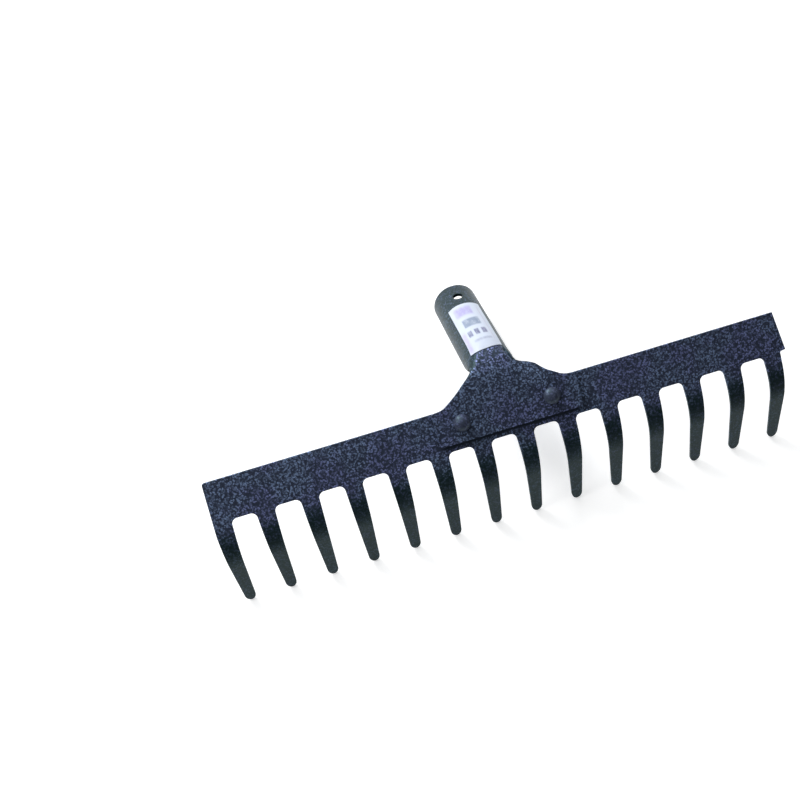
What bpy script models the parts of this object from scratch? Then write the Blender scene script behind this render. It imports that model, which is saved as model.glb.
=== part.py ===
"""Garden rake head: a stamped fourteen-tooth blade, a pressed handle socket, two rivets and a label.

Every piece is drawn in the blade's own frame (X along the blade, Y to the back, Z up the blade, zero at
the top of the slots), and one empty then lays the head down on its tooth tips and the rim of the socket.
"""

import math

import bmesh
import bpy
from mathutils import Matrix, Vector

MM = 0.001
GAP = 0.3

# Blade: one flat plate with the teeth stamped out and bent back.
TEETH = 14
PITCH = 27.0
SHEET = 2.0
BAR_HEIGHT = 25.4
BAR_OVERHANG = 3.7
BAR_CORNER = 1.6
LEFT_END_SLOPE = 0.9
RIGHT_END_SLOPE = 3.2
FIRST_TOOTH_SHIFT = 0.7
TOOTH_HALF_ROOT = 5.5
TOOTH_HALF_TIP = 3.26
TOOTH_LENGTH = 65.6
TOOTH_TIP = ((1.0, 4.5), (0.88, 2.7), (0.6, 1.1), (0.22, 0.2))
SLOT_CORNER = 3.6
SLOT_CORNER_STEPS = 5
BEND_START = 8.2
BEND_END = 31.8
BEND_ANGLE = math.radians(37.4)
BEND_STEPS = 9
EDGE_ROUND = 0.3

# Socket: a flange on the front of the blade, bent back and rolled into a tube.
TUBE_X = 5.2
TUBE_RADIUS = 14.26
TUBE_ANGLE = math.radians(60.4)
TUBE_LENGTH = 83.0
CORNER_HEIGHT = 52.73
ELBOW_RADIUS = 28.35
FLANGE_BOTTOM = 4.3
NECK_HEIGHT = 43.15
NECK_HALF = 14.7
SEAM = 0.8
THROAT_LENGTH = 20.0
FOLD_LENGTH = 7.0
# Half widths of the flange at heights above its bottom edge, left and right of the tube's axis.
FLANGE_LEFT = (
    (0.0, 42.2), (0.5, 43.2), (1.6, 43.8), (20.6, 43.8), (21.3, 42.5), (21.5, 38.4), (22.4, 34.7),
    (24.2, 31.5), (26.3, 28.3), (28.6, 24.9), (31.2, 21.7), (34.0, 18.8), (36.6, 16.4),
)
FLANGE_RIGHT = (
    (0.0, 45.0), (0.5, 46.2), (1.6, 46.9), (20.6, 46.9), (21.3, 45.9), (21.7, 40.6), (23.0, 36.9),
    (25.3, 33.1), (27.6, 29.3), (30.4, 26.3), (33.3, 23.9), (35.4, 20.6), (37.2, 17.2),
)
# Half widths of the flat front at distances above the neck.
GORE = (
    (0.0, 12.8), (1.5, 10.6), (3.5, 8.6), (6.0, 7.2), (9.0, 6.1), (13.0, 5.1), (17.0, 4.0),
    (21.0, 2.6), (26.0, 0.8),
)
GORE_CELLS = 5
SIDE_CELLS = 17

# Rivets, and the hole for the screw that holds the handle.
RIVET_X = 6.3
RIVET_SPACING = 56.9
RIVET_LEFT_X = RIVET_X - RIVET_SPACING / 2
RIVET_RIGHT_X = RIVET_X + RIVET_SPACING / 2
RIVET_HEIGHT = 15.75
RIVET_HEAD_RADIUS = 5.25
RIVET_HEAD_HEIGHT = 3.6
RIVET_SHANK_RADIUS = 2.5
RIVET_TAIL_RADIUS = 4.2
RIVET_TAIL_HEIGHT = 1.6
SCREW_HOLE_RADIUS = 3.25
SCREW_HOLE_FROM_RIM = 14.5
HOLE_STEPS = 32

# Label, stuck on the front of the tube.
LABEL_FROM_RIM = 25.3
LABEL_END_FROM_RIM = 76.5
LABEL_LEFT = -11.8
LABEL_RIGHT = 11.2
LABEL_THICKNESS = 0.2
LABEL_GAP = 0.15

FLAT_LENGTH = CORNER_HEIGHT - ELBOW_RADIUS * math.tan(TUBE_ANGLE / 2) - FLANGE_BOTTOM
ELBOW_LENGTH = ELBOW_RADIUS * TUBE_ANGLE
RIM = FLAT_LENGTH + ELBOW_LENGTH + TUBE_LENGTH - ELBOW_RADIUS * math.tan(TUBE_ANGLE / 2)
NECK = FLAT_LENGTH + ELBOW_RADIUS * math.asin((NECK_HEIGHT - FLANGE_BOTTOM - FLAT_LENGTH) / ELBOW_RADIUS)
FRONT = -GAP - SHEET


def clear_scene():
    for obj in list(bpy.data.objects):
        bpy.data.objects.remove(obj)


def collection(name, parent=None):
    made = bpy.data.collections.new(name)
    (parent or bpy.context.scene.collection).children.link(made)
    return made


def material(name, colour, metallic, roughness):
    made = bpy.data.materials.new(name)
    made.use_nodes = True
    shader = made.node_tree.nodes["Principled BSDF"]
    shader.inputs["Base Color"].default_value = (*colour, 1.0)
    shader.inputs["Metallic"].default_value = metallic
    shader.inputs["Roughness"].default_value = roughness
    return made


def add_object(name, mesh, holder, pose, finish=None):
    obj = bpy.data.objects.new(name, mesh)
    holder.objects.link(obj)
    obj.parent = pose
    if finish:
        mesh.materials.append(finish)
    return obj


def between(knots, at):
    """Straight-line interpolation in a list of (position, value)."""
    if at <= knots[0][0]:
        return knots[0][1]
    for (a, low), (b, high) in zip(knots, knots[1:]):
        if at <= b:
            return low + (high - low) * (at - a) / (b - a)
    return knots[-1][1]


def smooth(t):
    t = min(max(t, 0.0), 1.0)
    return t * t * (3.0 - 2.0 * t)


def smooth_shading(mesh, degrees):
    mesh.shade_smooth()
    mesh.set_sharp_from_angle(angle=math.radians(degrees))


# ---- Blade ----


def tooth_half(depth):
    return TOOTH_HALF_ROOT + (TOOTH_HALF_TIP - TOOTH_HALF_ROOT) * depth / TOOTH_LENGTH


def slot_corner(x, sign):
    """Points round a slot's top corner, from the tooth's side up to the slot's top."""
    points = []
    for i in range(SLOT_CORNER_STEPS + 1):
        turn = i / SLOT_CORNER_STEPS * math.pi / 2
        points.append((x + sign * SLOT_CORNER * (1 - math.cos(turn)), SLOT_CORNER * (math.sin(turn) - 1)))
    return points


def blade_outline():
    """The flat blank as (x, z), down and up each tooth from the left, then back along the top."""
    first = -(TEETH - 1) / 2 * PITCH
    left = first + FIRST_TOOTH_SHIFT - TOOTH_HALF_ROOT
    top_left = left + LEFT_END_SLOPE
    last = first + (TEETH - 1) * PITCH + TOOTH_HALF_ROOT
    top_right = last + BAR_OVERHANG - RIGHT_END_SLOPE
    points = [(top_left + BAR_CORNER, BAR_HEIGHT)]
    points.append((top_left + 0.3 * BAR_CORNER, BAR_HEIGHT - 0.3 * BAR_CORNER))
    points += [(top_left, BAR_HEIGHT - BAR_CORNER), (left, 0.5 - BEND_START)]
    for tooth in range(TEETH):
        centre = first + tooth * PITCH + (0 if tooth else FIRST_TOOTH_SHIFT)
        if tooth:
            points += reversed(slot_corner(centre - TOOTH_HALF_ROOT, -1))
        for share, rise in TOOTH_TIP:
            points.append((centre - share * tooth_half(TOOTH_LENGTH - rise), rise - TOOTH_LENGTH))
        for share, rise in reversed(TOOTH_TIP):
            points.append((centre + share * tooth_half(TOOTH_LENGTH - rise), rise - TOOTH_LENGTH))
        if tooth < TEETH - 1:
            points += slot_corner(centre + TOOTH_HALF_ROOT, 1)
    points += [(last, -0.7), (last + 0.5, 0.4), (last + BAR_OVERHANG, 0.9), (top_right, BAR_HEIGHT)]
    return points


def mesh_of_curve(curve):
    graph = bpy.context.evaluated_depsgraph_get()
    mesh = bpy.data.meshes.new_from_object(curve.evaluated_get(graph))
    bpy.data.objects.remove(curve)
    return mesh


def circle(x, z, radius):
    turns = [2 * math.pi * i / HOLE_STEPS for i in range(HOLE_STEPS)]
    return [(x + radius * math.cos(turn), z + radius * math.sin(turn)) for turn in turns]


def plate(name, outlines, holder):
    """A filled 2D outline, with holes, given thickness and broken edges."""
    data = bpy.data.curves.new(name, "CURVE")
    data.dimensions = "2D"
    data.fill_mode = "BOTH"
    data.extrude = (SHEET / 2 - EDGE_ROUND) * MM
    data.bevel_depth = EDGE_ROUND * MM
    data.bevel_resolution = 0
    data.offset = -EDGE_ROUND * MM
    for outline in outlines:
        spline = data.splines.new("POLY")
        spline.points.add(len(outline) - 1)
        for point, (x, z) in zip(spline.points, outline):
            point.co = (x * MM, z * MM, 0.0, 1.0)
        spline.use_cyclic_u = True
    curve = bpy.data.objects.new(name + "_outline", data)
    holder.objects.link(curve)
    return mesh_of_curve(curve)


def bent(co):
    """A point of the flat blank after the teeth are bent to the back about the front face."""
    depth = -co.z / MM
    if depth <= BEND_START:
        return co
    radius = (BEND_END - BEND_START) / BEND_ANGLE
    turn = min((depth - BEND_START) / radius, BEND_ANGLE)
    beyond = max(depth - BEND_END, 0.0)
    back = radius * (1 - math.cos(turn)) + beyond * math.sin(turn)
    down = BEND_START + radius * math.sin(turn) + beyond * math.cos(turn)
    return Vector((co.x, co.y * math.cos(turn) + back * MM, co.y * math.sin(turn) - down * MM))


def toothed_blade(holder, pose, finish):
    holes = [circle(x, RIVET_HEIGHT, RIVET_SHANK_RADIUS + GAP) for x in (RIVET_LEFT_X, RIVET_RIGHT_X)]
    mesh = plate("toothed_blade", [blade_outline(), *holes], holder)
    shape = bmesh.new()
    shape.from_mesh(mesh)
    stand = Matrix.Translation((0.0, SHEET / 2 * MM, 0.0)) @ Matrix.Rotation(math.pi / 2, 4, "X")
    bmesh.ops.transform(shape, matrix=stand, verts=shape.verts)
    bmesh.ops.remove_doubles(shape, verts=shape.verts, dist=0.00001)
    for step in range(BEND_STEPS + 1):
        depth = BEND_START + (BEND_END - BEND_START) * step / BEND_STEPS
        everything = shape.verts[:] + shape.edges[:] + shape.faces[:]
        bmesh.ops.bisect_plane(shape, geom=everything, plane_co=(0, 0, -depth * MM), plane_no=(0, 0, 1))
    for vert in shape.verts:
        vert.co = bent(vert.co)
    bmesh.ops.recalc_face_normals(shape, faces=shape.faces)
    shape.to_mesh(mesh)
    shape.free()
    smooth_shading(mesh, 35)
    return add_object("toothed_blade", mesh, holder, pose, finish)


# ---- Socket ----


def front_line(s):
    """The socket's front line at a distance above the flange's bottom: (y, z, lean to the back)."""
    if s <= FLAT_LENGTH:
        return FRONT, FLANGE_BOTTOM + s, 0.0
    lean = min((s - FLAT_LENGTH) / ELBOW_RADIUS, TUBE_ANGLE)
    beyond = max(s - FLAT_LENGTH - ELBOW_LENGTH, 0.0)
    y = FRONT + ELBOW_RADIUS * (1 - math.cos(lean)) + beyond * math.sin(lean)
    z = FLANGE_BOTTOM + FLAT_LENGTH + ELBOW_RADIUS * math.sin(lean) + beyond * math.cos(lean)
    return y, z, lean


def flat_half(s):
    return between(GORE, s - NECK) if s >= NECK else GORE[0][1] + 0.25 * (NECK - s)


def wrap_half(s, side):
    """How far the sheet reaches from the front line, measured round the section."""
    if s < NECK:
        knots = FLANGE_LEFT if side < 0 else FLANGE_RIGHT
        return between(knots + ((NECK, NECK_HALF),), s)
    flat = flat_half(s)
    whole = math.pi * TUBE_RADIUS - flat * (math.pi / 2 - 1) - SEAM / 2
    grown = math.sin(math.pi / 2 * min((s - NECK) / THROAT_LENGTH, 1.0))
    return NECK_HALF + (whole - NECK_HALF) * grown


def section(s, u):
    """Where a distance u round the section lies: (across, depth behind the front line)."""
    flat = flat_half(s)
    if u <= flat:
        return u, 0.0
    fold = smooth((s - NECK) / FOLD_LENGTH + 0.5)
    if fold < 0.001:
        return u, 0.0
    corner = TUBE_RADIUS - flat
    arc = min(u - flat, corner * math.pi / 2)
    turn = fold * arc / corner
    across = flat + corner / fold * math.sin(turn)
    depth = corner / fold * (1 - math.cos(turn))
    round_radius = TUBE_RADIUS / fold
    after = turn + (u - flat - arc) / round_radius
    across += round_radius * (math.sin(after) - math.sin(turn))
    depth += round_radius * (math.cos(turn) - math.cos(after))
    return across, depth


def socket_point(s, u, lift=0.0):
    """The outer face at s up the front line and u round from it, lifted off along the lean only."""
    y, z, lean = front_line(s)
    across, depth = section(s, abs(u))
    across = math.copysign(across, u)
    depth -= lift
    return Vector((TUBE_X + across, y + depth * math.cos(lean), z - depth * math.sin(lean))) * MM


def socket_stations():
    rows = [0.0, 0.5, 1.6, 8.0, 14.5, 20.6, 21.3, 21.6]
    rows += [22.4 + 1.35 * i for i in range(12)]
    rows += [NECK + 0.9 * i for i in range(8)]
    rows += [NECK + 8.2 + 2.0 * i for i in range(10)]
    rows += [RIM - 40.0, RIM - 20.0, RIM]
    return rows


def socket_columns(s, side):
    flat = flat_half(s)
    reach = wrap_half(s, side)
    inner = [flat * i / GORE_CELLS for i in range(GORE_CELLS + 1)]
    return inner + [flat + (reach - flat) * i / SIDE_CELLS for i in range(1, SIDE_CELLS + 1)]


def grid_mesh(name, rows):
    mesh = bpy.data.meshes.new(name)
    wide = len(rows[0])
    faces = []
    for i in range(len(rows) - 1):
        for j in range(wide - 1):
            corner = i * wide + j
            faces.append((corner, corner + 1, corner + wide + 1, corner + wide))
    mesh.from_pydata([point for row in rows for point in row], [], faces)
    return mesh


def thicken(obj, thickness, offset):
    solid = obj.modifiers.new("sheet", "SOLIDIFY")
    solid.thickness = thickness * MM
    solid.offset = offset
    solid.use_even_offset = True
    solid.use_rim = True


def cut(obj, cutter):
    knife = obj.modifiers.new(cutter.name, "BOOLEAN")
    knife.operation = "DIFFERENCE"
    knife.solver = "EXACT"
    knife.object = cutter


def cylinder_cutter(name, radius, length, centre, direction, holder, pose):
    mesh = bpy.data.meshes.new(name)
    shape = bmesh.new()
    bmesh.ops.create_cone(
        shape, cap_ends=True, segments=HOLE_STEPS, radius1=radius * MM, radius2=radius * MM, depth=length * MM
    )
    turn = Vector((0, 0, 1)).rotation_difference(Vector(direction)).to_matrix().to_4x4()
    bmesh.ops.transform(shape, matrix=Matrix.Translation(Vector(centre) * MM) @ turn, verts=shape.verts)
    shape.to_mesh(mesh)
    shape.free()
    obj = add_object(name, mesh, holder, pose)
    obj.hide_render = True
    obj.display_type = "WIRE"
    return obj


def socket(holder, pose, finish):
    rows = []
    for s in socket_stations():
        left = [socket_point(s, -u) for u in reversed(socket_columns(s, -1)[1:])]
        right = [socket_point(s, u) for u in socket_columns(s, 1)]
        rows.append(left + right)
    mesh = grid_mesh("socket", rows)
    smooth_shading(mesh, 40)
    obj = add_object("socket", mesh, holder, pose, finish)
    thicken(obj, SHEET, -1.0)
    return obj


def label(holder, pose, finish):
    rows = []
    for i in range(17):
        s = RIM - LABEL_END_FROM_RIM + (LABEL_END_FROM_RIM - LABEL_FROM_RIM) * i / 16
        rows.append([socket_point(s, LABEL_LEFT + (LABEL_RIGHT - LABEL_LEFT) * j / 20) for j in range(21)])
    mesh = grid_mesh("label", rows)
    mesh.update()
    lifted = [vert.co + vert.normal * LABEL_GAP * MM for vert in mesh.vertices]
    for vert, place in zip(mesh.vertices, lifted):
        vert.co = place
    smooth_shading(mesh, 60)
    obj = add_object("label", mesh, holder, pose, finish)
    thicken(obj, LABEL_THICKNESS, 1.0)
    return obj


# ---- Rivets ----


def rivet_profile():
    """(radius, y) from the middle of the domed head round to the middle of the tail."""
    head = FRONT - GAP
    points = []
    for i in range(9):
        turn = i / 8 * math.pi / 2
        points.append((RIVET_HEAD_RADIUS * math.sin(turn), head - 0.5 - (RIVET_HEAD_HEIGHT - 0.5) * math.cos(turn)))
    points += [(RIVET_HEAD_RADIUS, head), (RIVET_SHANK_RADIUS, head)]
    tail = SHEET + GAP
    points += [(RIVET_SHANK_RADIUS, tail), (RIVET_TAIL_RADIUS, tail)]
    points += [(RIVET_TAIL_RADIUS, tail + RIVET_TAIL_HEIGHT - 0.6)]
    points += [(RIVET_TAIL_RADIUS - 0.6, tail + RIVET_TAIL_HEIGHT), (0.0, tail + RIVET_TAIL_HEIGHT)]
    return points


def rivet(name, x, holder, pose, finish):
    """A solid turned about the blade's Y axis."""
    profile = [(r * MM, 0.0, -y * MM) for r, y in rivet_profile()]
    mesh = bpy.data.meshes.new(name)
    mesh.from_pydata(profile, [(i, i + 1) for i in range(len(profile) - 1)], [])
    obj = add_object(name, mesh, holder, pose, finish)
    obj.matrix_local = Matrix.Translation((x * MM, 0.0, RIVET_HEIGHT * MM)) @ Matrix.Rotation(math.pi / 2, 4, "X")
    turned = obj.modifiers.new("turned", "SCREW")
    turned.axis = "Z"
    turned.steps = 32
    turned.render_steps = 32
    turned.use_merge_vertices = True
    turned.merge_threshold = 0.00001
    turned.use_smooth_shade = True
    return obj


# ---- Resting pose ----


def lay_down(pose, pieces):
    """Turns the head onto its tooth tips and the rim of the tube, centred over the origin."""
    tip = bent(Vector((0.0, SHEET * MM, -TOOTH_LENGTH * MM)))
    rim = socket_point(RIM, math.pi * TUBE_RADIUS)
    along = math.atan2(rim.y - tip.y, rim.z - tip.z)
    pose.rotation_euler = (along - math.pi / 2, 0.0, 0.0)
    bpy.context.view_layer.update()
    graph = bpy.context.evaluated_depsgraph_get()
    points = []
    for piece in pieces:
        seen = piece.evaluated_get(graph)
        points += [seen.matrix_world @ vert.co for vert in seen.data.vertices]
    low = [min(point[axis] for point in points) for axis in range(3)]
    high = [max(point[axis] for point in points) for axis in range(3)]
    pose.location = (-(low[0] + high[0]) / 2, -(low[1] + high[1]) / 2, -low[2])
    bpy.context.view_layer.update()


def main():
    clear_scene()
    pieces = collection("garden_rake_head")
    cutters = collection("cutters")
    pose = bpy.data.objects.new("resting_pose", None)
    pieces.objects.link(pose)

    blade_paint = material("blade_paint", (0.025, 0.032, 0.055), 0.3, 0.4)
    socket_paint = material("socket_paint", (0.03, 0.04, 0.055), 0.3, 0.35)
    left_paint = material("rivet_left_paint", (0.03, 0.036, 0.055), 0.3, 0.3)
    right_paint = material("rivet_right_paint", (0.03, 0.036, 0.055), 0.3, 0.3)
    label_paper = material("label_paper", (0.82, 0.83, 0.86), 0.0, 0.5)

    blade = toothed_blade(pieces, pose, blade_paint)
    tube = socket(pieces, pose, socket_paint)
    for name, x in (("rivet_hole_left", RIVET_LEFT_X), ("rivet_hole_right", RIVET_RIGHT_X)):
        radius = RIVET_SHANK_RADIUS + GAP
        cut(tube, cylinder_cutter(name, radius, 20.0, (x, 0, RIVET_HEIGHT), (0, 1, 0), cutters, pose))
    y, z, lean = front_line(RIM - SCREW_HOLE_FROM_RIM)
    outwards = (0.0, -math.cos(lean), math.sin(lean))
    cut(tube, cylinder_cutter("screw_hole", SCREW_HOLE_RADIUS, 12.0, (TUBE_X, y, z), outwards, cutters, pose))
    rivets = [
        rivet("rivet_left", RIVET_LEFT_X, pieces, pose, left_paint),
        rivet("rivet_right", RIVET_RIGHT_X, pieces, pose, right_paint),
    ]
    sticker = label(pieces, pose, label_paper)
    lay_down(pose, [blade, tube, sticker, *rivets])
    cutters.hide_render = True


main()
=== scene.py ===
"""The looks of the garden rake head: finer pieces, hammered paint, a printed label, floor, light and camera.

The pieces are drawn in the blade's own frame (X along the blade, Y to the back, Z up the blade), from sizes
in millimetres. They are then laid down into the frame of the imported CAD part, by its box of the blade.
"""

import math

import bmesh
import bpy
from mathutils import Matrix, Vector


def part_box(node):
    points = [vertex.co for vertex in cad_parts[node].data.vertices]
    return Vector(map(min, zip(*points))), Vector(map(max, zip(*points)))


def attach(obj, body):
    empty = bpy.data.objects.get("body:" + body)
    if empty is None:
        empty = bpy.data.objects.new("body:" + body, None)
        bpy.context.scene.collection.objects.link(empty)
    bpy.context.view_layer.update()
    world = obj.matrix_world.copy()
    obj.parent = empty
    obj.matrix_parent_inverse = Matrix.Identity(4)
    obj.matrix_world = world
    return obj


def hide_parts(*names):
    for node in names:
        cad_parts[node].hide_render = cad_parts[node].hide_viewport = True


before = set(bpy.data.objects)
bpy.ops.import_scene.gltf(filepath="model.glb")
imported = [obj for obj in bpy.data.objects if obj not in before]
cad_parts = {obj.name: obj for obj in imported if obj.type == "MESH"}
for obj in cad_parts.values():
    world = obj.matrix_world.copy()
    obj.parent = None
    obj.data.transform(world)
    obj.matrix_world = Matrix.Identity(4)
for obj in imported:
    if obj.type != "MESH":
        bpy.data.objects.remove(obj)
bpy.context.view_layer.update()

MM = 0.001
GAP = 0.3
ROUNDED_FROM = 50
SHARP_FROM = 60
BLADE_SHARP_FROM = 40

# Blade
TEETH = 14
PITCH = 27.0
SHEET = 2.0
BAR_HEIGHT = 25.4
BAR_OVERHANG = 3.7
BAR_CORNER = 1.6
BAR_CORNER_STEPS = 6
LEFT_END_SLOPE = 0.9
RIGHT_END_SLOPE = 3.2
RIGHT_STEP = ((0.0, -0.7), (0.15, 0.1), (0.5, 0.45), (BAR_OVERHANG, 0.9))
FIRST_TOOTH_SHIFT = 0.7
TOOTH_HALF_ROOT = 5.5
TOOTH_HALF_TIP = 3.26
TOOTH_LENGTH = 65.6
TOOTH_TIP = ((1.0, 4.5), (0.97, 3.6), (0.88, 2.5), (0.75, 1.6), (0.58, 0.85), (0.38, 0.35), (0.13, 0.0))
SLOT_CORNER = 3.6
SLOT_CORNER_STEPS = 10
BEND_START = 8.2
LEFT_END_FOOT = BEND_START - 0.5
BEND_END = 31.8
BEND_ANGLE = math.radians(37.4)
BEND_STEPS = 22
EDGE_ROUND = 0.4
WELD = 0.002
TOOTH_FADE_START = -1.0
TOOTH_FADE_LENGTH = 18.0
TOOTH_FADE = 0.85

# Socket; the pairs are (distance up the front line, half-width), from the flange's bottom or from the neck
TUBE_X = 5.2
TUBE_RADIUS = 14.26
TUBE_ANGLE = math.radians(60.4)
TUBE_LENGTH = 83.0
CORNER_HEIGHT = 52.73
ELBOW_RADIUS = 28.35
FLANGE_BOTTOM = 4.3
NECK_HEIGHT = 43.15
NECK_HALF = 14.7
SEAM = 0.8
THROAT_LENGTH = 20.0
THROAT_START = 2.5
FOLD_LENGTH = 7.0
LEAST_FOLD = 0.001
NECK_TAPER = 0.25
FLANGE_LEFT = (
    (0.0, 42.2), (0.5, 43.2), (1.6, 43.8), (20.6, 43.8), (21.3, 42.8), (21.5, 38.9), (22.4, 35.7),
    (24.2, 32.7), (26.3, 29.6), (28.6, 26.3), (31.2, 23.1), (34.0, 19.8), (36.6, 16.9),
)
FLANGE_RIGHT = (
    (0.0, 45.0), (0.5, 46.2), (1.6, 46.9), (20.6, 46.9), (21.3, 46.1), (21.7, 41.6), (23.0, 38.2),
    (25.3, 34.6), (27.6, 30.8), (30.4, 27.7), (33.3, 25.1), (35.4, 21.6), (37.2, 17.7),
)
PATTERN_FRONT = (
    (0.0, 12.8), (1.5, 10.6), (3.5, 8.6), (6.0, 7.2), (9.0, 6.1), (13.0, 5.1), (17.0, 4.0),
    (21.0, 2.6), (26.0, 0.8),
)
FLAT_FRONT = (
    (0.0, 12.8), (1.5, 10.6), (3.5, 8.3), (6.0, 6.2), (9.0, 4.2), (12.0, 2.4), (15.0, 1.2), (19.0, 0.5),
    (26.0, 0.4),
)
RIGHT_CREASE = ((0.0, 13.2), (3.0, 11.9), (7.0, 10.4), (13.0, 9.4))
FRONT_CELLS = 12
SIDE_CELLS = 60
CREASE_DEPTH = 1.2
CREASE_WIDTH = 1.0
CREASE_START = -3.0
CREASE_RISE = 4.0
CREASE_FADE_START = 7.5
CREASE_FADE = 4.5
CURL_DEPTH = 2.4
CURL_START = 22.5
CURL_FADE = 6.0
CURL_INNER = 5.0
CURL_SPREAD = 14.0
CURL_LEFT_SHARE = 0.15
FLANGE_ROWS = (0.0, 0.25, 0.5, 1.0, 1.6, 4.0, 8.0, 12.0, 16.0, 20.6, 20.95, 21.3, 21.6, 22.0)
SHOULDER_START = 22.4
SHOULDER_STEP = 0.54
SHOULDER_ROWS = 30
NECK_STEP = 0.6
NECK_ROWS = 24
THROAT_ROWS_START = 14.6
THROAT_STEP = 1.2
THROAT_ROWS = 16
TUBE_ROWS = 30
SOCKET_EDGE_ROUND = 0.45
PATTERN_INSET = 0.3
PATTERN_OUTSET = 1.0
PATTERN_SIDE_FADE = 1.2
PATTERN_SIDE_START = -2.0
PATTERN_SIDE_RISE = 4.0
PATTERN_TUBE_START = 13.0
PATTERN_TUBE_FADE = 12.0
SOCKET_FADE = 0.8

# Rivets and the screw hole
RIVET_X = 6.3
RIVET_SPACING = 56.9
RIVET_LEFT_X = RIVET_X - RIVET_SPACING / 2
RIVET_RIGHT_X = RIVET_X + RIVET_SPACING / 2
RIVET_HEIGHT = 15.75
RIVET_HEAD_RADIUS = 5.25
RIVET_HEAD_HEIGHT = 3.6
RIVET_HEAD_SIDE = 0.5
RIVET_HEAD_STEPS = 18
RIVET_SHANK_RADIUS = 2.5
RIVET_TAIL_RADIUS = 4.2
RIVET_TAIL_HEIGHT = 1.6
RIVET_TAIL_ROUND = 0.9
RIVET_TAIL_STEPS = 6
RIVET_CHAMFER = 0.1
RIVET_TURN_STEPS = 64
RIVET_PATTERN = 0.22
SCREW_HOLE_RADIUS = 3.25
SCREW_HOLE_FROM_RIM = 14.5
SCREW_CUTTER_LENGTH = 12.0
RIVET_CUTTER_LENGTH = 20.0
HOLE_STEPS = 48

# Label
LABEL_FROM_RIM = 25.3
LABEL_END_FROM_RIM = 76.5
LABEL_LEFT = -10.6
LABEL_RIGHT = 10.6
LABEL_SKEW = 1.8
LABEL_THICKNESS = 0.2
LABEL_GAP = 0.15
LABEL_ROWS = 40
LABEL_COLUMNS = 30

FLAT_LENGTH = CORNER_HEIGHT - ELBOW_RADIUS * math.tan(TUBE_ANGLE / 2) - FLANGE_BOTTOM
ELBOW_LENGTH = ELBOW_RADIUS * TUBE_ANGLE
RIM = FLAT_LENGTH + ELBOW_LENGTH + TUBE_LENGTH - ELBOW_RADIUS * math.tan(TUBE_ANGLE / 2)
NECK = FLAT_LENGTH + ELBOW_RADIUS * math.asin((NECK_HEIGHT - FLANGE_BOTTOM - FLAT_LENGTH) / ELBOW_RADIUS)
FRONT = -GAP - SHEET

# Paint: linear colours, and feature sizes as cells per metre
NAVY_VALLEY = (0.016, 0.019, 0.036)
NAVY_FLAKE = (0.32, 0.37, 0.76)
TEAL_FLAKE = (0.29, 0.40, 0.66)
SMOOTH_TONE = (0.006, 0.015, 0.018)
RIVET_TONE = (0.036, 0.043, 0.072)
RIVET_FLAKE = (0.40, 0.46, 0.72)
PAINT_SPECULAR = 0.28
PAINT_TINT = (0.62, 0.98, 1.0, 1.0)
PAINT_BUMP = 0.5
PAINT_RELIEF = 0.0003
BLADE_ROUGHNESS = 0.42
SOCKET_ROUGHNESS = 0.4
RIVET_ROUGHNESS = 0.34
SPOT_SCALE = 780.0
WOBBLE_SCALE = 520.0
WOBBLE_REACH = 0.0022
GRAIN_SCALE = 2600.0
CLUMP_SCALE = 380.0
PATCH_SCALE = 34.0
# A painted shadow on the blade below the flange's bottom edge: its ends across the blade and its band up and
# down from the edge, in millimetres
SHADOW_LINE_LEFT = -43.5
SHADOW_LINE_RIGHT = 47.5
SHADOW_LINE_END_FADE = 1.0
SHADOW_LINE_BAND = (-2.4, -1.2, 0.6, 1.2)

# Label print: ((left, right, bottom, top, soft edge) as shares of the label, ink, weight)
PAPER_TONES = ((0.52, 0.57, 0.66), (0.47, 0.52, 0.64))
LABEL_FIELDS = (
    ((0.14, 0.66, 0.74, 0.93, 0.04), (0.33, 0.30, 0.56), 0.9),
    ((0.22, 0.72, 0.48, 0.65, 0.02), (0.17, 0.22, 0.32), 0.9),
    ((0.20, 0.33, 0.27, 0.39, 0.02), (0.10, 0.11, 0.22), 0.95),
    ((0.41, 0.54, 0.27, 0.39, 0.02), (0.10, 0.11, 0.22), 0.95),
    ((0.62, 0.76, 0.27, 0.39, 0.02), (0.11, 0.11, 0.22), 0.9),
    ((0.28, 0.80, 0.14, 0.18, 0.02), (0.26, 0.28, 0.40), 0.7),
    ((0.02, 0.14, 0.02, 0.42, 0.05), (0.40, 0.35, 0.62), 0.8),
    ((0.85, 0.87, 0.12, 0.90, 0.01), (0.38, 0.34, 0.46), 0.7),
)

# Floor and light, in metres and watts
FLOOR_HALF = 12.0
FLOOR_DROP = 0.0004
FLOOR_TONES = ((0.8, 0.8, 0.8), (0.82, 0.82, 0.82))
FLOOR_GLOW = 0.54
DOME_AIM = (-0.12, 0.76, 0.63)
DOME_DARKEST = 0.03
DOME_BRIGHTEST = 0.36
DOME_PATCH = 2.1
BACKDROP = (0.97, 0.99, 1.0, 1.0)
LAMPS = (
    ("key", (-0.35, 0.72, 0.62), (0.0, 0.0, 0.02), 0.3, 6.3),
    ("side", (-0.5, 0.12, 0.5), (-0.05, 0.0, 0.03), 0.25, 1.0),
)

# Camera, in the frame of the CAD part, turned in degrees
CAMERA_PLACE = (-0.10196, -0.17788, 0.64649)
CAMERA_TURN = (15.729, -0.445, -17.562)
CAMERA_LENS = 46.30
CAMERA_SHIFT = (-0.03, 0.0394)


# ---- Small helpers ----


def between(knots, at):
    """Straight-line interpolation in a list of (position, value)."""
    if at <= knots[0][0]:
        return knots[0][1]
    for (a, low), (b, high) in zip(knots, knots[1:]):
        if at <= b:
            return low + (high - low) * (at - a) / (b - a)
    return knots[-1][1]


def smooth(t):
    """0 up to t = 0, 1 from t = 1, and an even S between."""
    t = min(max(t, 0.0), 1.0)
    return t * t * (3.0 - 2.0 * t)


def add_object(name, data):
    obj = bpy.data.objects.new(name, data)
    bpy.context.scene.collection.objects.link(obj)
    return obj


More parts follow.
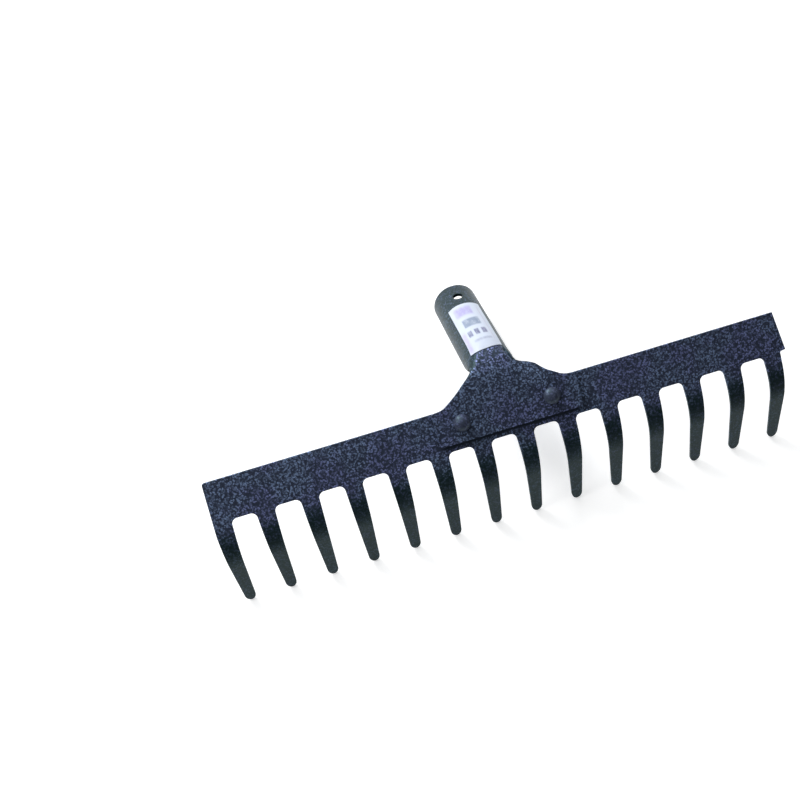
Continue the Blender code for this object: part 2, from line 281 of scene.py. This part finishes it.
def even_normals(obj, degrees):
    obj.data.shade_smooth()
    obj.data.set_sharp_from_angle(angle=math.radians(degrees))
    even = obj.modifiers.new("even_normals", "WEIGHTED_NORMAL")
    even.keep_sharp = True
    return obj


# ---- Blade ----


def tooth_half(depth):
    return TOOTH_HALF_ROOT + (TOOTH_HALF_TIP - TOOTH_HALF_ROOT) * depth / TOOTH_LENGTH


def slot_corner(x, sign):
    """Points round a slot's top corner, from the tooth's side up to the slot's top."""
    points = []
    for i in range(SLOT_CORNER_STEPS + 1):
        turn = i / SLOT_CORNER_STEPS * math.pi / 2
        points.append((x + sign * SLOT_CORNER * (1 - math.cos(turn)), SLOT_CORNER * (math.sin(turn) - 1)))
    return points


def blade_outline():
    """The flat blank as (x, z), down and up each tooth from the left, then back along the top."""
    first = -(TEETH - 1) / 2 * PITCH
    left = first + FIRST_TOOTH_SHIFT - TOOTH_HALF_ROOT
    top_left = left + LEFT_END_SLOPE
    last = first + (TEETH - 1) * PITCH + TOOTH_HALF_ROOT
    top_right = last + BAR_OVERHANG - RIGHT_END_SLOPE
    points = []
    for i in range(BAR_CORNER_STEPS + 1):
        turn = i / BAR_CORNER_STEPS * math.pi / 2
        x = top_left + BAR_CORNER * (1 - math.sin(turn))
        points.append((x, BAR_HEIGHT - BAR_CORNER * (1 - math.cos(turn))))
    points.append((left, -LEFT_END_FOOT))
    for tooth in range(TEETH):
        centre = first + tooth * PITCH + (0 if tooth else FIRST_TOOTH_SHIFT)
        if tooth:
            points += reversed(slot_corner(centre - TOOTH_HALF_ROOT, -1))
        for share, rise in TOOTH_TIP:
            points.append((centre - share * tooth_half(TOOTH_LENGTH - rise), rise - TOOTH_LENGTH))
        for share, rise in reversed(TOOTH_TIP):
            points.append((centre + share * tooth_half(TOOTH_LENGTH - rise), rise - TOOTH_LENGTH))
        if tooth < TEETH - 1:
            points += slot_corner(centre + TOOTH_HALF_ROOT, 1)
    points += [(last + out, up) for out, up in RIGHT_STEP]
    points.append((top_right, BAR_HEIGHT))
    return points


def circle(x, z, radius):
    turns = [2 * math.pi * i / HOLE_STEPS for i in range(HOLE_STEPS)]
    return [(x + radius * math.cos(turn), z + radius * math.sin(turn)) for turn in turns]


def plate(name, outlines):
    """A filled 2D outline, with holes, given thickness and rounded edges."""
    data = bpy.data.curves.new(name, "CURVE")
    data.dimensions = "2D"
    data.fill_mode = "BOTH"
    data.extrude = (SHEET / 2 - EDGE_ROUND) * MM
    data.bevel_depth = EDGE_ROUND * MM
    data.bevel_resolution = 2
    data.offset = -EDGE_ROUND * MM
    for outline in outlines:
        spline = data.splines.new("POLY")
        spline.points.add(len(outline) - 1)
        for point, (x, z) in zip(spline.points, outline):
            point.co = (x * MM, z * MM, 0.0, 1.0)
        spline.use_cyclic_u = True
    curve = bpy.data.objects.new(name, data)
    bpy.context.scene.collection.objects.link(curve)
    graph = bpy.context.evaluated_depsgraph_get()
    mesh = bpy.data.meshes.new_from_object(curve.evaluated_get(graph))
    bpy.data.objects.remove(curve)
    return mesh


def bent(co):
    """A point of the flat blank after the teeth are bent to the back about the front face."""
    depth = -co.z / MM
    if depth <= BEND_START:
        return co
    radius = (BEND_END - BEND_START) / BEND_ANGLE
    turn = min((depth - BEND_START) / radius, BEND_ANGLE)
    beyond = max(depth - BEND_END, 0.0)
    back = radius * (1 - math.cos(turn)) + beyond * math.sin(turn)
    down = BEND_START + radius * math.sin(turn) + beyond * math.cos(turn)
    return Vector((co.x, co.y * math.cos(turn) + back * MM, co.y * math.sin(turn) - down * MM))


def set_texture_strength(mesh, values):
    """How strongly the hammered pattern shows at each vertex, read by the paint."""
    mesh.attributes.new("hammer", "FLOAT", "POINT").data.foreach_set("value", values)


def tooth_strength(depth):
    return 1.0 - TOOTH_FADE * smooth((depth - TOOTH_FADE_START) / TOOTH_FADE_LENGTH)


def blade_mesh():
    holes = [circle(x, RIVET_HEIGHT, RIVET_SHANK_RADIUS + GAP) for x in (RIVET_LEFT_X, RIVET_RIGHT_X)]
    mesh = plate("blade_sheet", [blade_outline(), *holes])
    shape = bmesh.new()
    shape.from_mesh(mesh)
    stand = Matrix.Translation((0.0, SHEET / 2 * MM, 0.0)) @ Matrix.Rotation(math.pi / 2, 4, "X")
    bmesh.ops.transform(shape, matrix=stand, verts=shape.verts)
    bmesh.ops.remove_doubles(shape, verts=shape.verts, dist=WELD * MM)
    for step in range(BEND_STEPS + 1):
        depth = BEND_START + (BEND_END - BEND_START) * step / BEND_STEPS
        everything = shape.verts[:] + shape.edges[:] + shape.faces[:]
        bmesh.ops.bisect_plane(shape, geom=everything, plane_co=(0, 0, -depth * MM), plane_no=(0, 0, 1))
    strengths = [tooth_strength(-vert.co.z / MM) for vert in shape.verts]
    for vert in shape.verts:
        vert.co = bent(vert.co)
    bmesh.ops.recalc_face_normals(shape, faces=shape.faces)
    shape.to_mesh(mesh)
    shape.free()
    set_texture_strength(mesh, strengths)
    return mesh


# ---- Socket ----


def front_line(s):
    """The socket's front line at a distance above the flange's bottom: (y, z, lean to the back)."""
    if s <= FLAT_LENGTH:
        return FRONT, FLANGE_BOTTOM + s, 0.0
    lean = min((s - FLAT_LENGTH) / ELBOW_RADIUS, TUBE_ANGLE)
    beyond = max(s - FLAT_LENGTH - ELBOW_LENGTH, 0.0)
    y = FRONT + ELBOW_RADIUS * (1 - math.cos(lean)) + beyond * math.sin(lean)
    z = FLANGE_BOTTOM + FLAT_LENGTH + ELBOW_RADIUS * math.sin(lean) + beyond * math.cos(lean)
    return y, z, lean


def flat_half(s):
    """Half the width of the flat front."""
    if s < NECK:
        return FLAT_FRONT[0][1] + NECK_TAPER * (NECK - s)
    return between(FLAT_FRONT, s - NECK)


def wrap_half(s, side):
    """How far the sheet reaches from the front line, measured round the section."""
    if s < NECK:
        knots = FLANGE_LEFT if side < 0 else FLANGE_RIGHT
        return between(knots + ((NECK, NECK_HALF),), s)
    flat = flat_half(s)
    whole = math.pi * TUBE_RADIUS - flat * (math.pi / 2 - 1) - SEAM / 2
    grown = math.sin(math.pi / 2 * min(max(s - NECK - THROAT_START, 0.0) / THROAT_LENGTH, 1.0))
    return NECK_HALF + (whole - NECK_HALF) * grown


def section(s, u):
    """Where a distance u round the section lies: (across, depth behind the front line)."""
    flat = flat_half(s)
    if u <= flat:
        return u, 0.0
    fold = smooth((s - NECK) / FOLD_LENGTH + 0.5)
    if fold < LEAST_FOLD:
        return u, 0.0
    corner = TUBE_RADIUS - flat
    arc = min(u - flat, corner * math.pi / 2)
    turn = fold * arc / corner
    across = flat + corner / fold * math.sin(turn)
    depth = corner / fold * (1 - math.cos(turn))
    round_radius = TUBE_RADIUS / fold
    after = turn + (u - flat - arc) / round_radius
    across += round_radius * (math.sin(after) - math.sin(turn))
    depth += round_radius * (math.cos(turn) - math.cos(after))
    return across, depth


def crease(s, u):
    """Depth of the pressed valley on the right, between the flat front and the round of the tube."""
    if u < 0:
        return 0.0
    along = s - NECK
    fading = 1.0 - smooth((along - CREASE_FADE_START) / CREASE_FADE)
    across = (u - between(RIGHT_CREASE, along)) / CREASE_WIDTH
    return CREASE_DEPTH * smooth((along - CREASE_START) / CREASE_RISE) * fading * math.exp(-across * across)


def curl(s, u):
    """How far the flange's shoulders lean back on their way into the tube."""
    rising = smooth((s - CURL_START) / (NECK - CURL_START)) * (1.0 - smooth((s - NECK) / CURL_FADE))
    side = 1.0 if u > 0 else CURL_LEFT_SHARE
    return CURL_DEPTH * side * rising * smooth((abs(u) - CURL_INNER) / CURL_SPREAD)


def socket_point(s, u):
    """The outer face at s up the front line and u round from it."""
    y, z, lean = front_line(s)
    across, depth = section(s, abs(u))
    across = math.copysign(across, u)
    depth += crease(s, u) + curl(s, u)
    return Vector((TUBE_X + across, y + depth * math.cos(lean), z - depth * math.sin(lean))) * MM


def socket_stations():
    """The rows of the socket's mesh up the front line, close together where the shape changes fast."""
    throat = NECK + THROAT_ROWS_START
    tube = throat + THROAT_STEP * (THROAT_ROWS - 1)
    rows = list(FLANGE_ROWS)
    rows += [SHOULDER_START + SHOULDER_STEP * i for i in range(SHOULDER_ROWS)]
    rows += [NECK + NECK_STEP * i for i in range(NECK_ROWS)]
    rows += [throat + THROAT_STEP * i for i in range(THROAT_ROWS)]
    rows += [tube + (RIM - tube) * i / TUBE_ROWS for i in range(1, TUBE_ROWS + 1)]
    return rows


def socket_columns(s, side):
    """The mesh's columns at s, from the front line to one edge of the sheet."""
    flat = flat_half(s)
    reach = wrap_half(s, side)
    inner = [flat * i / FRONT_CELLS for i in range(FRONT_CELLS + 1)]
    return inner + [flat + (reach - flat) * i / SIDE_CELLS for i in range(1, SIDE_CELLS + 1)]


def grid_mesh(name, rows):
    mesh = bpy.data.meshes.new(name)
    wide = len(rows[0])
    faces = []
    for i in range(len(rows) - 1):
        for j in range(wide - 1):
            corner = i * wide + j
            faces.append((corner, corner + 1, corner + wide + 1, corner + wide))
    mesh.from_pydata([point for row in rows for point in row], [], faces)
    return mesh


def thicken(obj, thickness, offset):
    solid = obj.modifiers.new("sheet", "SOLIDIFY")
    solid.thickness = thickness * MM
    solid.offset = offset
    solid.use_even_offset = True
    solid.use_rim = True


def cut(obj, cutter):
    knife = obj.modifiers.new(cutter.name, "BOOLEAN")
    knife.operation = "DIFFERENCE"
    knife.solver = "EXACT"
    knife.object = cutter


def cylinder_cutter(name, radius, length, centre, direction):
    mesh = bpy.data.meshes.new(name)
    shape = bmesh.new()
    bmesh.ops.create_cone(
        shape, cap_ends=True, segments=HOLE_STEPS, radius1=radius * MM, radius2=radius * MM, depth=length * MM
    )
    turn = Vector((0, 0, 1)).rotation_difference(Vector(direction)).to_matrix().to_4x4()
    bmesh.ops.transform(shape, matrix=Matrix.Translation(Vector(centre) * MM) @ turn, verts=shape.verts)
    shape.to_mesh(mesh)
    shape.free()
    return add_object(name, mesh)


def round_edges(obj, width, degrees):
    edges = obj.modifiers.new("rounded_edges", "BEVEL")
    edges.width = width * MM
    edges.segments = 3
    edges.limit_method = "ANGLE"
    edges.angle_limit = math.radians(degrees)


def apply_modifiers(obj):
    bpy.context.view_layer.update()
    graph = bpy.context.evaluated_depsgraph_get()
    mesh = bpy.data.meshes.new_from_object(obj.evaluated_get(graph), depsgraph=graph)
    obj.modifiers.clear()
    obj.data = mesh


def socket_strength(s, u):
    """The hammered pattern is strong on the flange and the flat front, and fades on the tube."""
    along = s - NECK
    if u > 0:
        edge = between(RIGHT_CREASE, along) - PATTERN_INSET
    else:
        edge = between(PATTERN_FRONT, along) + PATTERN_OUTSET
    side = smooth((abs(u) - edge) / PATTERN_SIDE_FADE)
    side *= smooth((along - PATTERN_SIDE_START) / PATTERN_SIDE_RISE)
    tube = smooth((along - PATTERN_TUBE_START) / PATTERN_TUBE_FADE)
    return 1.0 - SOCKET_FADE * max(side, tube)


def socket_piece():
    rows = []
    strengths = []
    for s in socket_stations():
        across = [-u for u in reversed(socket_columns(s, -1)[1:])] + socket_columns(s, 1)
        rows.append([socket_point(s, u) for u in across])
        strengths += [socket_strength(s, u) for u in across]
    mesh = grid_mesh("socket_sheet", rows)
    set_texture_strength(mesh, strengths)
    obj = add_object("socket_sheet", mesh)
    thicken(obj, SHEET, -1.0)
    cutters = []
    radius = RIVET_SHANK_RADIUS + GAP
    for name, x in (("rivet_hole_left", RIVET_LEFT_X), ("rivet_hole_right", RIVET_RIGHT_X)):
        centre = (x, 0, RIVET_HEIGHT)
        cutters.append(cylinder_cutter(name, radius, RIVET_CUTTER_LENGTH, centre, (0, 1, 0)))
    y, z, lean = front_line(RIM - SCREW_HOLE_FROM_RIM)
    centre = (TUBE_X, y, z)
    outwards = (0.0, -math.cos(lean), math.sin(lean))
    cutters.append(cylinder_cutter("screw_hole", SCREW_HOLE_RADIUS, SCREW_CUTTER_LENGTH, centre, outwards))
    for cutter in cutters:
        cut(obj, cutter)
    round_edges(obj, SOCKET_EDGE_ROUND, ROUNDED_FROM)
    apply_modifiers(obj)
    for cutter in cutters:
        bpy.data.objects.remove(cutter)
    return even_normals(obj, SHARP_FROM)


# ---- Label ----


def label_piece():
    """A sheet that follows the tube's front, with its own UV map from its lower left corner."""
    rows = []
    for i in range(LABEL_ROWS + 1):
        up = i / LABEL_ROWS
        s = RIM - LABEL_END_FROM_RIM + (LABEL_END_FROM_RIM - LABEL_FROM_RIM) * i / LABEL_ROWS
        row = []
        for j in range(LABEL_COLUMNS + 1):
            drop = LABEL_SKEW * (1 - up) * (1 - j / LABEL_COLUMNS)
            row.append(socket_point(s - drop, LABEL_LEFT + (LABEL_RIGHT - LABEL_LEFT) * j / LABEL_COLUMNS))
        rows.append(row)
    mesh = grid_mesh("label_sheet", rows)
    sheet = mesh.uv_layers.new(name="print")
    for loop in mesh.loops:
        i, j = divmod(loop.vertex_index, LABEL_COLUMNS + 1)
        sheet.data[loop.index].uv = (j / LABEL_COLUMNS, i / LABEL_ROWS)
    mesh.update()
    lifted = [vert.co + vert.normal * LABEL_GAP * MM for vert in mesh.vertices]
    for vert, place in zip(mesh.vertices, lifted):
        vert.co = place
    obj = add_object("label_sheet", mesh)
    thicken(obj, LABEL_THICKNESS, 1.0)
    apply_modifiers(obj)
    return even_normals(obj, SHARP_FROM)


# ---- Rivets ----


def rivet_profile():
    """(radius, y) from the middle of the domed head, a cap of a ball, round to the middle of the tail."""
    head = FRONT - GAP
    tail = SHEET + GAP
    cap = RIVET_HEAD_HEIGHT - RIVET_HEAD_SIDE
    ball = (RIVET_HEAD_RADIUS**2 + cap**2) / (2 * cap)
    widest = math.asin(RIVET_HEAD_RADIUS / ball)
    points = []
    for i in range(RIVET_HEAD_STEPS + 1):
        turn = i / RIVET_HEAD_STEPS * widest
        points.append((ball * math.sin(turn), head - RIVET_HEAD_HEIGHT + ball * (1 - math.cos(turn))))
    points.append((RIVET_HEAD_RADIUS, head - RIVET_CHAMFER))
    points.append((RIVET_HEAD_RADIUS - RIVET_CHAMFER, head))
    points.append((RIVET_SHANK_RADIUS, head))
    points.append((RIVET_SHANK_RADIUS, tail))
    points.append((RIVET_TAIL_RADIUS - RIVET_CHAMFER, tail))
    points.append((RIVET_TAIL_RADIUS, tail + RIVET_CHAMFER))
    for i in range(RIVET_TAIL_STEPS + 1):
        turn = i / RIVET_TAIL_STEPS * math.pi / 2
        radius = RIVET_TAIL_RADIUS - RIVET_TAIL_ROUND * (1 - math.cos(turn))
        points.append((radius, tail + RIVET_TAIL_HEIGHT - RIVET_TAIL_ROUND * (1 - math.sin(turn))))
    points.append((0.0, tail + RIVET_TAIL_HEIGHT))
    return points


def rivet_piece(name, x):
    """A solid turned about an axis along the blade's Y."""
    profile = [(r * MM, 0.0, -y * MM) for r, y in rivet_profile()]
    mesh = bpy.data.meshes.new(name)
    mesh.from_pydata(profile, [(i, i + 1) for i in range(len(profile) - 1)], [])
    stand = Matrix.Translation((x * MM, 0.0, RIVET_HEIGHT * MM)) @ Matrix.Rotation(math.pi / 2, 4, "X")
    obj = add_object(name, mesh)
    turned = obj.modifiers.new("turned", "SCREW")
    turned.axis = "Z"
    turned.steps = RIVET_TURN_STEPS
    turned.render_steps = RIVET_TURN_STEPS
    turned.use_merge_vertices = True
    turned.merge_threshold = 0.01 * MM
    apply_modifiers(obj)
    obj.data.transform(stand)
    set_texture_strength(obj.data, [RIVET_PATTERN] * len(obj.data.vertices))
    return even_normals(obj, SHARP_FROM)


# ---- Materials ----


def node(tree, kind, inputs=None, **settings):
    made = tree.nodes.new(kind)
    for name, value in settings.items():
        setattr(made, name, value)
    for name, value in (inputs or {}).items():
        socket = made.inputs[name]
        if isinstance(value, bpy.types.NodeSocket):
            tree.links.new(value, socket)
        else:
            socket.default_value = value
    return made


def math_node(tree, operation, first, second=0.0):
    return node(tree, "ShaderNodeMath", {0: first, 1: second}, operation=operation).outputs[0]


def times(tree, first, second):
    return math_node(tree, "MULTIPLY", first, second)


def vector_node(tree, operation, inputs):
    return node(tree, "ShaderNodeVectorMath", inputs, operation=operation).outputs


def noise(tree, place, scale, detail, output="Fac", **more):
    inputs = {"Vector": place, "Scale": scale, "Detail": detail, **more}
    return node(tree, "ShaderNodeTexNoise", inputs).outputs[output]


def mix_colours(tree, factor, first, second):
    """A blend of two colours, each a socket or a plain colour."""
    made = node(tree, "ShaderNodeMix", {0: factor}, data_type="RGBA")
    for index, value in ((6, first), (7, second)):
        if isinstance(value, bpy.types.NodeSocket):
            tree.links.new(value, made.inputs[index])
        else:
            made.inputs[index].default_value = (*value, 1.0)
    return made.outputs[2]


def map_range(tree, value, low, high, to_low=0.0, to_high=1.0):
    """A value eased from one range into another."""
    return node(
        tree,
        "ShaderNodeMapRange",
        {"Value": value, "From Min": low, "From Max": high, "To Min": to_low, "To Max": to_high},
        interpolation_type="SMOOTHSTEP",
    ).outputs["Result"]


def new_material(name):
    made = bpy.data.materials.new(name)
    made.use_nodes = True
    return made, made.node_tree, made.node_tree.nodes["Principled BSDF"]


def outside_painted_shadow(tree, place, shadow_line_y):
    """0 in a painted shadow, a narrow band on the blade along the flange's bottom edge, and 1 elsewhere."""
    apart = node(tree, "ShaderNodeSeparateXYZ", {"Vector": place})
    x, y = apart.outputs["X"], apart.outputs["Y"]
    lowest, lower, upper, highest = [shadow_line_y + part * MM for part in SHADOW_LINE_BAND]
    low = map_range(tree, y, lowest, lower)
    high = map_range(tree, y, highest, upper)
    left = map_range(tree, x, (SHADOW_LINE_LEFT - SHADOW_LINE_END_FADE) * MM, (SHADOW_LINE_LEFT + SHADOW_LINE_END_FADE) * MM)
    right = map_range(tree, x, (SHADOW_LINE_RIGHT + SHADOW_LINE_END_FADE) * MM, (SHADOW_LINE_RIGHT - SHADOW_LINE_END_FADE) * MM)
    inside = times(tree, times(tree, low, high), times(tree, left, right))
    return math_node(tree, "SUBTRACT", 1.0, inside)


def flake_spots(tree, place):
    """Rounded cells with wobbling sides, 1 in the middle of each and 0 between them."""
    wobble = noise(tree, place, WOBBLE_SCALE, 2.0, "Color")
    shift = vector_node(tree, "SUBTRACT", {0: wobble, 1: (0.5, 0.5, 0.5)})[0]
    shift = vector_node(tree, "SCALE", {0: shift, "Scale": WOBBLE_REACH})[0]
    moved = vector_node(tree, "ADD", {0: place, 1: shift})[0]
    cells = node(tree, "ShaderNodeTexVoronoi", {"Vector": moved, "Scale": SPOT_SCALE}, feature="F1")
    return map_range(tree, cells.outputs["Distance"], 0.66, 0.2)


def hammered_paint(name, valley, flakes, smooth_tone, roughness, shadow_line_y=None):
    """Dark enamel with pale flakes drawn together into small raised spots.

    The pattern follows the "hammer" values of the mesh. Where the height of the flange's bottom edge is
    given, a painted shadow lies in a narrow band along it: no flakes there, so it shows dark.
    """
    made, tree, shader = new_material(name)
    place = node(tree, "ShaderNodeTexCoord").outputs["Object"]
    hammer = node(tree, "ShaderNodeAttribute", attribute_name="hammer").outputs["Fac"]
    # Painted shadow under the flange's bottom edge: the flakes are left out in that band, so it is dark
    strength = hammer if shadow_line_y is None else times(tree, hammer, outside_painted_shadow(tree, place, shadow_line_y))
    spots = flake_spots(tree, place)
    grain = noise(tree, place, GRAIN_SCALE, 3.0)
    clumps = noise(tree, place, CLUMP_SCALE, 1.0)
    patches = noise(tree, place, PATCH_SCALE, 3.0)
    patchy = map_range(tree, patches, 0.3, 0.7, 0.6, 1.0)
    clumped = map_range(tree, clumps, 0.35, 0.65, 0.25, 1.0)
    shown = times(tree, times(tree, spots, strength), times(tree, patchy, clumped))
    flake = mix_colours(tree, map_range(tree, patches, 0.42, 0.58), *flakes)
    plain = mix_colours(tree, grain, valley, [1.6 * part for part in valley])
    body = mix_colours(tree, map_range(tree, hammer, 0.2, 0.9), smooth_tone, plain)
    tree.links.new(mix_colours(tree, shown, body, flake), shader.inputs["Base Color"])
    tree.links.new(times(tree, shown, 0.95), shader.inputs["Metallic"])
    rough = map_range(tree, grain, 0.3, 0.7, roughness - 0.05, roughness + 0.08)
    tree.links.new(rough, shader.inputs["Roughness"])
    relief = math_node(tree, "ADD", spots, times(tree, grain, 0.35))
    height = times(tree, relief, strength)
    bumps = {"Strength": PAINT_BUMP, "Distance": PAINT_RELIEF, "Height": height}
    raised = node(tree, "ShaderNodeBump", bumps)
    tree.links.new(raised.outputs["Normal"], shader.inputs["Normal"])
    shader.inputs["Specular IOR Level"].default_value = PAINT_SPECULAR
    shader.inputs["Specular Tint"].default_value = PAINT_TINT
    return made


def field(tree, u, v, left, right, bottom, top, soft):
    """A soft-edged rectangle of the label, 1 inside and 0 outside."""
    from_left = map_range(tree, u, left - soft, left + soft)
    from_right = map_range(tree, u, right + soft, right - soft)
    from_bottom = map_range(tree, v, bottom - soft, bottom + soft)
    from_top = map_range(tree, v, top + soft, top - soft)
    return times(tree, times(tree, from_left, from_right), times(tree, from_bottom, from_top))


def label_paper():
    """Coated paper printed with plain colour fields and rules."""
    made, tree, shader = new_material("label_paper_print")
    place = node(tree, "ShaderNodeUVMap", uv_map="print").outputs["UV"]
    apart = node(tree, "ShaderNodeSeparateXYZ", {"Vector": place})
    u, v = apart.outputs["X"], apart.outputs["Y"]
    speck = noise(tree, place, 9.0, 4.0, Roughness=0.7)
    colour = mix_colours(tree, speck, *PAPER_TONES)
    for edges, ink, weight in LABEL_FIELDS:
        inked = map_range(tree, speck, 0.35, 0.6, 0.6 * weight, weight)
        colour = mix_colours(tree, times(tree, field(tree, u, v, *edges), inked), colour, ink)
    tree.links.new(colour, shader.inputs["Base Color"])
    fibre = noise(tree, place, 60.0, 3.0)
    tree.links.new(map_range(tree, fibre, 0.3, 0.7, 0.4, 0.52), shader.inputs["Roughness"])
    raised = node(tree, "ShaderNodeBump", {"Strength": 0.12, "Distance": 0.0002, "Height": fibre})
    tree.links.new(raised.outputs["Normal"], shader.inputs["Normal"])
    return made


def floor_material():
    made, tree, shader = new_material("pale_floor")
    place = node(tree, "ShaderNodeTexCoord").outputs["Object"]
    tone = mix_colours(tree, noise(tree, place, 30.0, 3.0), *FLOOR_TONES)
    tree.links.new(tone, shader.inputs["Base Color"])
    shader.inputs["Roughness"].default_value = 0.85
    shader.inputs["Specular IOR Level"].default_value = 0.2
    shader.inputs["Emission Color"].default_value = (1.0, 1.0, 1.0, 1.0)
    shader.inputs["Emission Strength"].default_value = FLOOR_GLOW
    return made


# ---- Placing, stage, light and camera ----


def lay_down(blade, pieces):
    """Turns the pieces onto the tooth tips and the rim, and moves the blade into its CAD box."""
    tip = bent(Vector((0.0, SHEET * MM, -TOOTH_LENGTH * MM)))
    rim = socket_point(RIM, math.pi * TUBE_RADIUS)
    along = math.atan2(rim.y - tip.y, rim.z - tip.z)
    turn = Matrix.Rotation(along - math.pi / 2, 4, "X")
    points = [turn @ vert.co for vert in blade.data.vertices]
    middle = [(min(p[axis] for p in points) + max(p[axis] for p in points)) / 2 for axis in range(3)]
    cad_low, cad_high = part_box("toothed_blade")
    pose = Matrix.Translation((cad_low + cad_high) / 2 - Vector(middle)) @ turn
    for piece in pieces:
        piece.data.transform(pose)
    return pose


def floor():
    mesh = bpy.data.meshes.new("floor")
    corners = ((-1, -1), (1, -1), (1, 1), (-1, 1))
    mesh.from_pydata([(x * FLOOR_HALF, y * FLOOR_HALF, -FLOOR_DROP) for x, y in corners], [], [(0, 1, 2, 3)])
    obj = add_object("floor", mesh)
    mesh.materials.append(floor_material())


def studio_light():
    """A soft dome, brightest in a patch behind and above, dim in front, over a plain pale backdrop."""
    world = bpy.data.worlds.new("studio")
    bpy.context.scene.world = world
    world.use_nodes = True
    tree = world.node_tree
    backdrop = tree.nodes["Background"]
    way = node(tree, "ShaderNodeTexCoord").outputs["Generated"]
    facing = vector_node(tree, "DOT_PRODUCT", {0: way, 1: tuple(Vector(DOME_AIM).normalized())})["Value"]
    dome = map_range(tree, facing, -0.3, 0.9, DOME_DARKEST, DOME_BRIGHTEST)
    level = math_node(tree, "ADD", dome, map_range(tree, facing, 0.76, 1.0, 0.0, DOME_PATCH))
    ray = node(tree, "ShaderNodeLightPath").outputs["Is Camera Ray"]
    strength = node(tree, "ShaderNodeMix", {0: ray, 2: level, 3: 1.0}, data_type="FLOAT").outputs[0]
    backdrop.inputs["Color"].default_value = BACKDROP
    tree.links.new(strength, backdrop.inputs["Strength"])


def lamp(name, place, target, size, power):
    """A round soft lamp that points at the target."""
    data = bpy.data.lights.new(name, "AREA")
    data.shape = "DISK"
    data.size = size
    data.energy = power
    obj = add_object(name, data)
    obj.location = place
    obj.rotation_euler = (Vector(target) - Vector(place)).to_track_quat("-Z", "Y").to_euler()


def camera():
    data = bpy.data.cameras.new("camera")
    data.sensor_width = 36.0
    data.lens = CAMERA_LENS
    data.shift_x, data.shift_y = CAMERA_SHIFT
    data.clip_start = 0.01
    data.clip_end = 50.0
    obj = add_object("camera", data)
    obj.location = CAMERA_PLACE
    obj.rotation_euler = [math.radians(turn) for turn in CAMERA_TURN]
    bpy.context.scene.camera = obj


def stand_for(piece, node_name, paint):
    piece.data.materials.clear()
    piece.data.materials.append(paint)
    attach(piece, "root")
    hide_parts(node_name)


bpy.context.scene.view_settings.view_transform = "Standard"

blade = even_normals(add_object("blade_sheet", blade_mesh()), BLADE_SHARP_FROM)
tube = socket_piece()
label = label_piece()
left_rivet = rivet_piece("rivet_left_body", RIVET_LEFT_X)
right_rivet = rivet_piece("rivet_right_body", RIVET_RIGHT_X)
pose = lay_down(blade, [blade, tube, label, left_rivet, right_rivet])
# Height of the flange's bottom edge on the blade, where the blade's paint gets a painted shadow
shadow_line_y = (pose @ Vector((0.0, 0.0, FLANGE_BOTTOM * MM))).y

sheet_tones = (NAVY_VALLEY, (NAVY_FLAKE, TEAL_FLAKE), SMOOTH_TONE)
rivet_tones = (RIVET_TONE, (RIVET_FLAKE, NAVY_FLAKE), RIVET_TONE)
blade_paint = hammered_paint("blade_hammered", *sheet_tones, BLADE_ROUGHNESS, shadow_line_y)
socket_paint = hammered_paint("socket_hammered", *sheet_tones, SOCKET_ROUGHNESS)
left_paint = hammered_paint("rivet_left_hammered", *rivet_tones, RIVET_ROUGHNESS)
right_paint = hammered_paint("rivet_right_hammered", *rivet_tones, RIVET_ROUGHNESS)
stand_for(blade, "toothed_blade", blade_paint)
stand_for(tube, "socket", socket_paint)
stand_for(left_rivet, "rivet_left", left_paint)
stand_for(right_rivet, "rivet_right", right_paint)
stand_for(label, "label", label_paper())

floor()
studio_light()
for light in LAMPS:
    lamp(*light)
camera()
